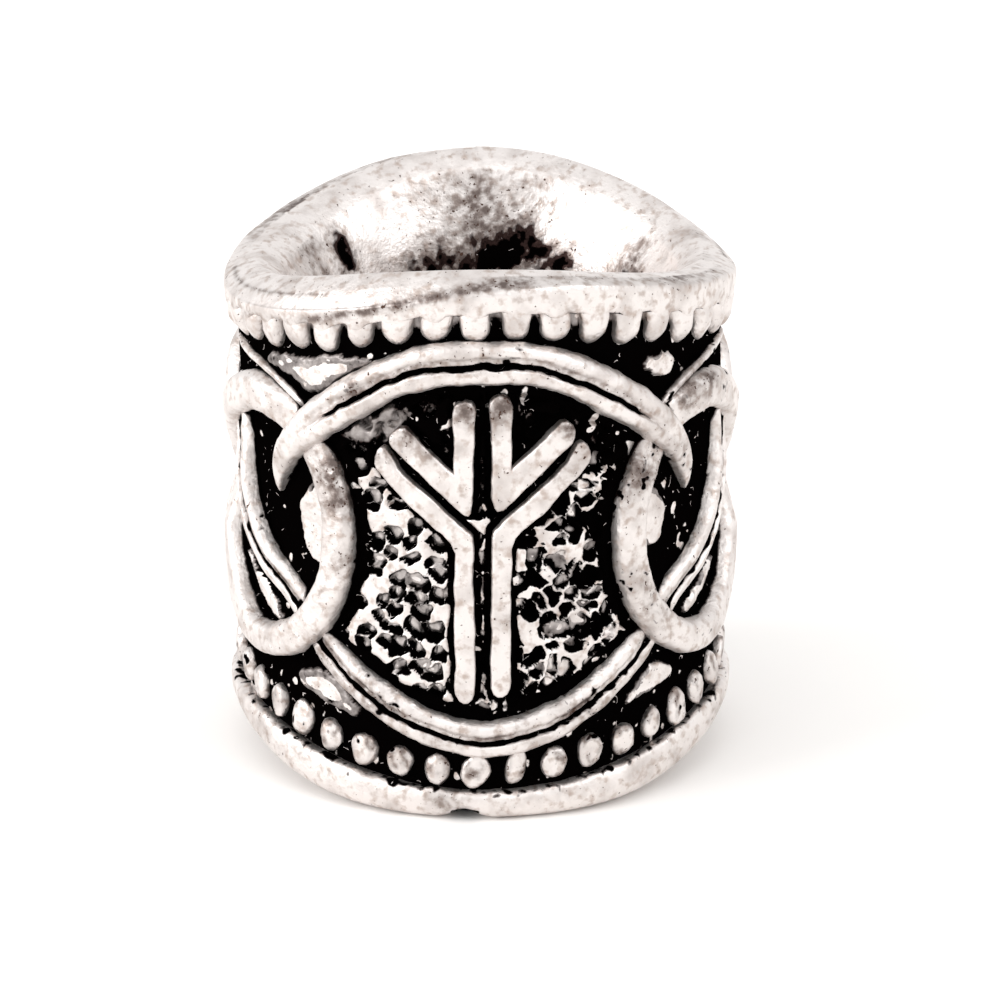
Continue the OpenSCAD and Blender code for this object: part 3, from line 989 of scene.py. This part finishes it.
# %% The tarnish of the bore, and a painted dark reflection
# Each row is one stain: its angle from the back's middle, its depth as a share of the flare, its
# breadth in degrees and its height as such a share, then how hazy and how black it is. The black
# near the back's middle is partly tarnish and partly a painted reflection of the dark space in front
# of the bead.
STAINS_AND_REFLECTION = [
    (4, 0.3, 20, 0.6, 0.3, 0), (4, 0.8, 21, 0.3, 0.5, 0.4), (17, 0.8, 7.5, 0.3, 0.6, 1.1),
    (0, 0.95, 9, 0.25, 0.6, 0.6), (-16, 0.92, 11, 0.22, 0.6, 0.6), (-50, 0.75, 5, 0.45, 0.6, 0.9),
    (-62, 0.6, 9, 0.5, 0.3, 0), (30, 0.92, 12, 0.24, 0.6, 0.6), (62, 0.75, 8, 0.3, 0.5, 0.3),
    (180, 0.8, 60, 0.4, 0.5, 0.3),
]


def stain_and_reflection(turn, depth):
    """How hazy and how black the bore is there, by tarnish and by a painted dark reflection."""
    hazy, black = 0, 0
    for angle, deep, wide, tall, haze, strength in STAINS_AND_REFLECTION:
        off = (180 - degrees(turn) - angle + 180) % 360 - 180
        near = bell(off, 0, wide) * bell(depth, deep, tall)
        hazy, black = hazy + haze * near, black + strength * near
    return hazy, black


def bore_wear(turn, z, mottle):
    depth = (LIP_Z - abs(z)) / (LIP_Z - THROAT_Z)
    hazy, black = stain_and_reflection(turn, depth)
    black = black * (1 + 1.2 * mottle) + 0.05 * mottle + 0.3 * ease(1.1, 1.6, depth)
    return black, min(1.8 * hazy * (1 + 0.6 * mottle) + 0.2 * mottle - 0.1, 1)


print("haze and black at the back's middle:", [round(share, 2) for share in stain_and_reflection(pi, 0.9)])


# %% The wear of the rims
# A grey streak of painted shade runs along the lower part of the lip's bevel, dirt lies in its
# second corner at the left, and its underside is black, as the foot's upper edge is.
EDGE_SHIFT, UNDERSIDE = 0.08, 0.13


def lip_wear(turn, r, z, point):
    """How far a place is above the lip's black lower edge, and how much smoke and painted shade lie on it.
    """
    at, drop = folded(turn), bevel_drop(turn)
    edge = z - field_h(turn) + lip_hang(turn) + EDGE_SHIFT
    if edge < UNDERSIDE:
        edge -= ease(RIM_R - 0.05, RIM_R - 0.12, r)
    # The streak is painted shade on the bevel's lower part.
    shade_streak = 0.3 + 0.6 * ease(-0.8, -0.65, at) * ease(0.25, 0.1, at) + 0.2 * wobble(point, 0.7, 89)
    shade_streak = (shade_streak + 0.6 * bell(at, 0.9, 0.14)) * ease(1.4, 1.2, abs(at))
    shade_streak_z = crest_h(turn) - drop + min(max(0.45 * at + 0.11, -0.25), 0.1)
    corner_z = crest_h(turn) - drop * SECOND_CORNER / BEVEL_DROP
    smoky_and_shaded = max(shade_streak, 0) * bell(z, shade_streak_z, 0.1)
    smoky_and_shaded += 0.6 * ease(-0.5, -0.8, at) * bell(z, corner_z, 0.035)
    return edge, smoky_and_shaded if r > RIM_R - 0.4 else 0


def foot_wear(turn, z, point):
    """The same for the foot, whose nick is painted black inside as its shadow."""
    edge = -z - field_h(turn) - 0.045 + uneven(point, (0.08, 1.8, 90), (0.16, 6, 91))
    nick_shadow = bell(turn * GROUND_R, NICK_AT, 0.24) * ease(0.29, 0.23, z + FRONT_H / 2)
    return edge - 2 * nick_shadow, grime_and_shade(turn, z)[1]


def wear_body(bm):
    worn, grey, smoke_and_shade = masks(bm)
    for vert in bm.verts:
        x, y, z = vert.co
        turn, r = atan2(x, -y), hypot(x, y)
        mottle = uneven(vert.co, (1, 1.2, 86), (0.8, 3.5, 87), (0.6, 8, 88))
        if r > BORE_FROM:
            edge, smoky_and_shaded = lip_wear(turn, r, z, vert.co) if z > 0 else foot_wear(turn, z, vert.co)
            vert[worn] = max(min(edge, PROUD_ENOUGH), -0.2) + roughly(vert.co)
            vert[grey] = vert[worn] + HALF_GONE
            vert[smoke_and_shade] = smoky_and_shaded + 0.25 * max(mottle - 0.3, 0)
        else:
            black, vert[smoke_and_shade] = bore_wear(turn, z, mottle)
            vert[worn] = 0.12 * (0.5 - black)
            vert[grey] = 0.12 * (0.8 - black)


wear_body(pieces["rims_and_bore"])
print("the bevel's corner lies", round(bevel_drop(-1), 2), "mm down at the left and",
      round(bevel_drop(1), 2), "at the right")

# %% [markdown]
# ## Antique silver
# One metal and one black make the whole look. Worn silver plate over zinc is a warm near-white
# metal, a little rough from the tumbling, so it shows soft highlights and no mirror. The black is
# silver sulphide under lacquer, which is dull and nearly without reflection. Between them is a grey
# where the black is only half gone. The vertices carry the masks, because the wear follows the
# shape, and fine noise breaks up their edges. Painted shade rides in the smoke mask, and painted
# glints lie in the black. All noise is read from the place on the object.


# %% Small helpers for nodes, ranges and colours
silver = bpy.data.materials.new("antique_silver_plate")
silver.use_nodes = True
nodes, links = silver.node_tree.nodes, silver.node_tree.links


def node(kind, inputs, output=0, **settings):
    """Adds a node with its settings, gives each input a value or a link, and returns one output."""
    made = nodes.new("ShaderNode" + kind)
    for name, value in settings.items():
        setattr(made, name, value)
    for name, value in inputs.items():
        if isinstance(value, bpy.types.NodeSocket):
            links.new(value, made.inputs[name])
        else:
            made.inputs[name].default_value = value
    return made.outputs[output]


def span(start, end, to_start=0, to_end=1):
    """The range that a map range reads, and the one it gives."""
    return {"From Min": start, "From Max": end, "To Min": to_start, "To Max": to_end}


def linear(hex_colour):
    parts = [int(hex_colour[i:i + 2], 16) / 255 for i in (1, 3, 5)]
    return (*[c / 12.92 if c <= 0.04045 else ((c + 0.055) / 1.055) ** 2.4 for c in parts], 1)


SILVER, SHADED_SILVER = linear("#E8E2DF"), linear("#C6BEBA")
print("warm silver:", [round(c, 3) for c in SILVER[:3]])

# %% Where the silver is bright, where grey and where black
# The tumbler's grit and the casting's pores leave marks of 0.08 mm, blots of tarnish are 0.2 mm
# wide and its clouds 0.7 mm. That makes 13, 12, 5 and 1.5 waves in a millimetre, and Blender takes
# the waves in a metre for a noise's scale.
GRIT, PORES, BLOTS, CLOUDS = [MM_PER_M * per_mm for per_mm in (13, 12, 5, 1.5)]
LIMIT = span(-0.006, 0.006)
MIX = {"output": 2, "data_type": "RGBA"}
place = node("TexCoord", {}, "Object")
worn, grey, smoke_and_shade = [node("Attribute", {}, "Fac", attribute_name=name) for name in MASKS]
grit = node("TexNoise", {"Vector": place, "Scale": GRIT, "Detail": 3})
blot = node("TexNoise", {"Vector": place, "Scale": BLOTS, "Detail": 3})
coarse = node("Math", {0: blot, 1: 0.07, 2: -0.06}, operation="MULTIPLY_ADD")
grain = node("Math", {0: grit, 1: 0.05, 2: coarse}, operation="MULTIPLY_ADD")
worn_here = node("Math", {0: worn, 1: grain}, operation="ADD")
grey_here = node("Math", {0: grey, 1: grain}, operation="ADD")
bright = node("MapRange", {"Value": worn_here, **LIMIT})
dull = node("MapRange", {"Value": grey_here, **LIMIT})
print("waves in a metre, from grit to clouds:", GRIT, PORES, BLOTS, CLOUDS)

# %% Painted glints: fine bright lines in the black, 0.4 mm apart and in short bits, for reflections in its lacquer
curl = node("TexNoise", {"Vector": place, "Scale": 2.6 * MM_PER_M, "Detail": 1})
on_line = node("Math", {0: curl, 1: 0.5, 2: 0.007}, operation="COMPARE")
broken = node("TexNoise", {"Vector": place, "Scale": 4.3 * MM_PER_M, "Detail": 1})
in_bits = node("MapRange", {"Value": broken, **span(0.645, 0.66)})
glint = node("Math", {0: on_line, 1: in_bits}, operation="MULTIPLY")
print(len(nodes), "nodes so far")

# %% The silver's colour
# Clouds and blots of tarnish lie on it, then a veil of smoke and painted shade, and dirt in the pores.
cloud = node("TexNoise", {"Vector": place, "Scale": CLOUDS, "Detail": 4})
cloudy = node("MapRange", {"Value": cloud, **span(0.46, 0.74)})
metal = node("Mix", {0: cloudy, 6: SILVER, 7: SHADED_SILVER}, **MIX)
stainy = node("Math", {0: smoke_and_shade, 1: 0.15, 2: blot}, operation="MULTIPLY_ADD")
blotted = node("MapRange", {"Value": stainy, **span(0.52, 0.72)})
metal = node("Mix", {0: blotted, 6: metal, 7: linear("#BFB1A9")}, **MIX)
pore = node("TexNoise", {"Vector": place, "Scale": PORES, "Detail": 2})
patchy = node("MapRange", {"Value": blot, **span(0.35, 0.65, 0.4, 1.3)})
# The veil is smoke, and painted shade under the lip's bevel, beside the strands' grooves, at the rune's
# ends and on the lower granules' tops.
veil = node("Math", {0: smoke_and_shade, 1: patchy}, operation="MULTIPLY")
metal = node("Mix", {0: veil, 6: metal, 7: linear("#6B605C")}, **MIX)
crowded = node("Math", {0: cloud, 1: 0.12, 2: pore}, operation="MULTIPLY_ADD")
crowded = node("Math", {0: smoke_and_shade, 1: 0.1, 2: crowded}, operation="MULTIPLY_ADD")
specks = node("MapRange", {"Value": crowded, **span(0.765, 0.81)})
metal = node("Mix", {0: specks, 6: metal, 7: linear("#4A3831")}, **MIX)
print(len(nodes), "nodes with the silver's colour")

# %% The grey, the black, and all of them together
pale = node("MapRange", {"Value": grey, **span(0, 0.04, -0.25, 0.5)})
pale = node("Math", {0: patchy, 1: 0.35, 2: pale}, operation="MULTIPLY_ADD")
pale = node("Math", {0: veil, 1: -0.7, 2: pale}, operation="MULTIPLY_ADD")
half_gone = node("Mix", {0: pale, 6: linear("#2E2220"), 7: linear("#D2CBC8")}, **MIX)
# The black takes the painted glints.
black = node("Mix", {0: glint, 6: linear("#030202"), 7: linear("#D9D2CF")}, **MIX)
dark = node("Mix", {0: dull, 6: black, 7: half_gone}, **MIX)
colour = node("Mix", {0: bright, 6: dark, 7: metal}, **MIX)
print(len(nodes), "nodes with all colours")

# %% The shader
# The black is no metal. The grit of the tumbling makes a relief of 0.04 mm.
shader = nodes["Principled BSDF"]
shader.inputs["Specular IOR Level"].default_value = 0
plated = node("Math", {0: bright, 1: dull}, operation="MAXIMUM")
# The painted glints are metal too.
plated = node("Math", {0: plated, 1: glint}, operation="MAXIMUM")
pore_free = node("Math", {0: specks, 1: -0.8, 2: 1}, operation="MULTIPLY_ADD")
metallic = node("Math", {0: plated, 1: pore_free}, operation="MULTIPLY")
tumbled = node("MapRange", {"Value": cloud, **span(0.3, 0.7, 0.4, 0.54)})
relief = node("Math", {0: blot, 1: 1.4, 2: grit}, operation="MULTIPLY_ADD")
bump = node("Bump", {"Height": relief, "Strength": 0.4, "Distance": 0.04 / MM_PER_M})
ways = {"Base Color": colour, "Metallic": metallic, "Roughness": tumbled, "Normal": bump}
for name, output in ways.items():
    links.new(output, shader.inputs[name])
print(len(nodes), "nodes in", silver.name)

# %% [markdown]
# ## From the bench to the frame
# Each piece is shrunk to metres and lifted onto its foot. The real casting is a little lower at its
# left than at its right, which a gentle pull on the upper left does. Every piece stands for the
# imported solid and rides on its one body.


# %% Objects for the pieces
def lean(co):
    """The lopsidedness of the real casting: the lip is lower towards the left and back."""
    high_share = max(co.z, 0) / (FRONT_H / 2)
    lower = 0.3 * bell(atan2(co.x, -co.y), radians(-112), radians(42))
    return Vector((co.x, co.y, co.z - lower * high_share ** 2))


def placed(name, data):
    thing = bpy.data.objects.new(name, data)
    bpy.context.scene.collection.objects.link(thing)
    return thing


for name, bm in pieces.items():
    for vert in bm.verts:
        vert.co = lean(vert.co)
    bmesh.ops.translate(bm, verts=bm.verts, vec=(0, 0, FRONT_H / 2))
    bmesh.ops.scale(bm, verts=bm.verts, vec=[1 / MM_PER_M] * 3)
    mesh = mesh_of(bm, name)
    mesh.shade_smooth()
    mesh.materials.append(silver)
    piece = placed(name, mesh)
    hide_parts("bead")
    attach(piece, "root")
    print(name, sum(len(poly.vertices) - 2 for poly in mesh.polygons), "triangles")

# %% [markdown]
# ## A white studio
# The bead was photographed on white paper under broad lights, so bright that the paper has no
# tone left and only a faint shadow shows at the right. Big area lights stand at both sides and
# above. Silver shows what it faces, so the white floor matters as much as the lamps do.

# %% The paper
white = bpy.data.materials.new("white_paper")
white.use_nodes = True
fibres = white.node_tree.nodes["Principled BSDF"]
fibres.inputs["Base Color"].default_value = linear("#F6F4F2")
fibres.inputs["Roughness"].default_value = 0.9
paper = bmesh.new()
bmesh.ops.create_grid(paper, x_segments=1, y_segments=1, size=2)
mesh = mesh_of(paper, "paper_floor")
mesh.materials.append(white)
placed("paper_floor", mesh)
print(mesh.name, "is", mesh.vertices[-1].co.x - mesh.vertices[0].co.x, "m wide")


# %% The lamps
def aimed(spot, target):
    return (Vector(target) - Vector(spot)).to_track_quat("-Z", "Y").to_euler()


# Each row says where a lamp stands, at what height it aims, how wide and tall it is, and its watts.
LAMPS = {
    "left_box": ((-0.34, -0.12, 0.17), 0.006, (0.24, 0.24), 0.95),
    "right_box": ((0.25, -0.2, 0.27), 0.006, (0.18, 0.2), 0.35),
    "top_box": ((-0.05, -0.22, 0.38), 0, (0.3, 0.25), 0.12),
}
for name, (spot, aim, size, watts) in LAMPS.items():
    lamp = bpy.data.lights.new(name, "AREA")
    lamp.shape = "RECTANGLE"
    lamp.size, lamp.size_y = size
    lamp.energy = watts
    box = placed(name, lamp)
    box.location = spot
    box.rotation_euler = aimed(spot, (0, 0, aim))
world = bpy.data.worlds.new("white_room")
world.use_nodes = True
glow = world.node_tree.nodes["Background"]
glow.inputs["Color"].default_value = linear("#FFFFFF")
glow.inputs["Strength"].default_value = 1.05
bpy.context.scene.world = world
bpy.context.scene.view_settings.view_transform = "Standard"
print(len(LAMPS), "lamps in a white room")

# %% [markdown]
# ## The camera
# The photograph looks down on the bead by 18.9 degrees from nine of its heights away, through a long
# lens. The bead's middle lies a little left of the picture's middle and above it.

# %% The camera
DISTANCE, LOOK_DOWN, AROUND = 0.10815, radians(18.912), radians(-1)
PIXELS, PIXELS_PER_UNIT = 1000, 5000
PIXELS_LEFT, PIXELS_ABOVE = 19.7, 29.2
middle = Vector((0, 0, FRONT_H / 2 / MM_PER_M))
away = Vector((sin(AROUND) * cos(LOOK_DOWN), -cos(AROUND) * cos(LOOK_DOWN), sin(LOOK_DOWN)))
eye = middle + DISTANCE * away
right = Vector((cos(AROUND), sin(AROUND), 0))
up = right.cross(-away)
target = middle + DISTANCE / PIXELS_PER_UNIT * (PIXELS_LEFT * right - PIXELS_ABOVE * up)
lens = bpy.data.cameras.new("camera")
lens.sensor_width = 36
lens.lens = lens.sensor_width * PIXELS_PER_UNIT / PIXELS
lens.clip_start, lens.clip_end = 0.005, 5
camera = placed("camera", lens)
camera.location = eye
camera.rotation_euler = aimed(eye, target)
bpy.context.scene.camera = camera
print("lens", lens.lens, "mm, eye", [round(c, 4) for c in eye], "up", [round(c, 2) for c in up])
